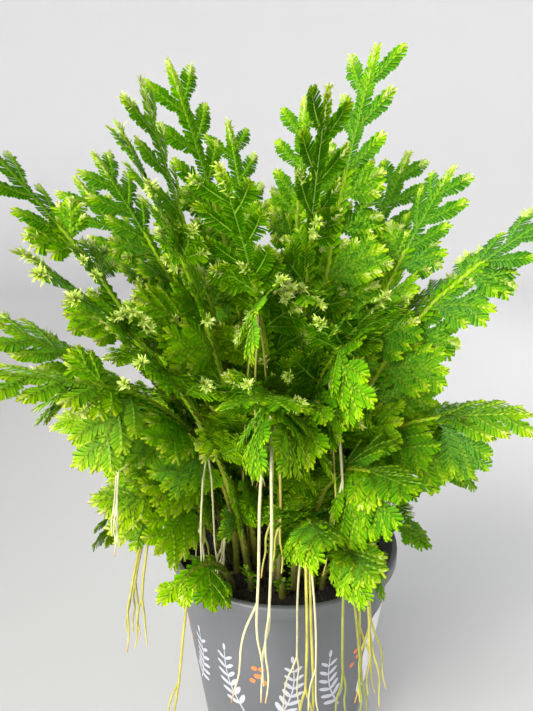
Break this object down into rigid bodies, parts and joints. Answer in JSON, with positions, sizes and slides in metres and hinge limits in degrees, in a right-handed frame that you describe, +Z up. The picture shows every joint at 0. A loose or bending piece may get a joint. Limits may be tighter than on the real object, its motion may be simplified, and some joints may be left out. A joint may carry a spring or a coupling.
{
  "type": "potted spikemoss",
  "caption": "Bushy potted spikemoss: leafy, fan-like stems arch from the soil of a small tapered nursery pot, with thin aerial roots hanging below them.",
  "frame": {"origin": "centre of the flat underside of the pot", "axes": "+Z up along the pot's axis and the plant's height, -Y towards the side that the picture shows, +X to that side's right"},
  "size_m": [0.1776, 0.1599, 0.2364],
  "materials": {
    "pot_plastic": "semi-matte mid-grey moulded plastic",
    "soil": "loose, near-black moist peat",
    "label_paper": "plain white sticker, smooth",
    "leaf": "soft green leaf with a slight sheen and pale yellow-green tips",
    "aerial_root": "smooth cream to yellow-olive root"
  },
  "bodies": {
    "root": {"label": "label_paper", "pot": "pot_plastic", "roots_back_left": "aerial_root", "roots_back_right": "aerial_root", "roots_front_olive": "aerial_root", "roots_front_pale": "aerial_root", "roots_front_right": "aerial_root", "roots_inner_front": "aerial_root", "roots_inner_left": "aerial_root", "roots_left_inner": "aerial_root", "roots_left_long": "aerial_root", "roots_left_rim": "aerial_root", "roots_right_pale": "aerial_root", "roots_right_rim": "aerial_root", "soil": "soil", "stem_back_left_middle": "leaf", "stem_back_low_left": "leaf", "stem_back_low_right": "leaf", "stem_back_middle": "leaf", "stem_back_right_high": "leaf", "stem_back_top": "leaf", "stem_back_top_left": "leaf", "stem_centre_near": "leaf", "stem_centre_near_right": "leaf", "stem_crown_back_right": "leaf", "stem_crown_left": "leaf", "stem_crown_near_left": "leaf", "stem_crown_right": "leaf", "stem_front": "leaf", "stem_front_drop": "leaf", "stem_front_left_drop": "leaf", "stem_front_right_drop": "leaf", "stem_left_back_low": "leaf", "stem_left_hanging": "leaf", "stem_left_high": "leaf", "stem_left_low": "leaf", "stem_left_middle": "leaf", "stem_left_near": "leaf", "stem_right_arching": "leaf", "stem_right_back": "leaf", "stem_right_back_low": "leaf", "stem_right_hanging": "leaf", "stem_right_low": "leaf", "stem_right_rim": "leaf", "stem_top_left": "leaf", "stem_top_near": "leaf", "stem_top_right": "leaf", "stem_upper_left": "leaf", "stem_upper_left_back": "leaf"}
  },
  "joints": []
}
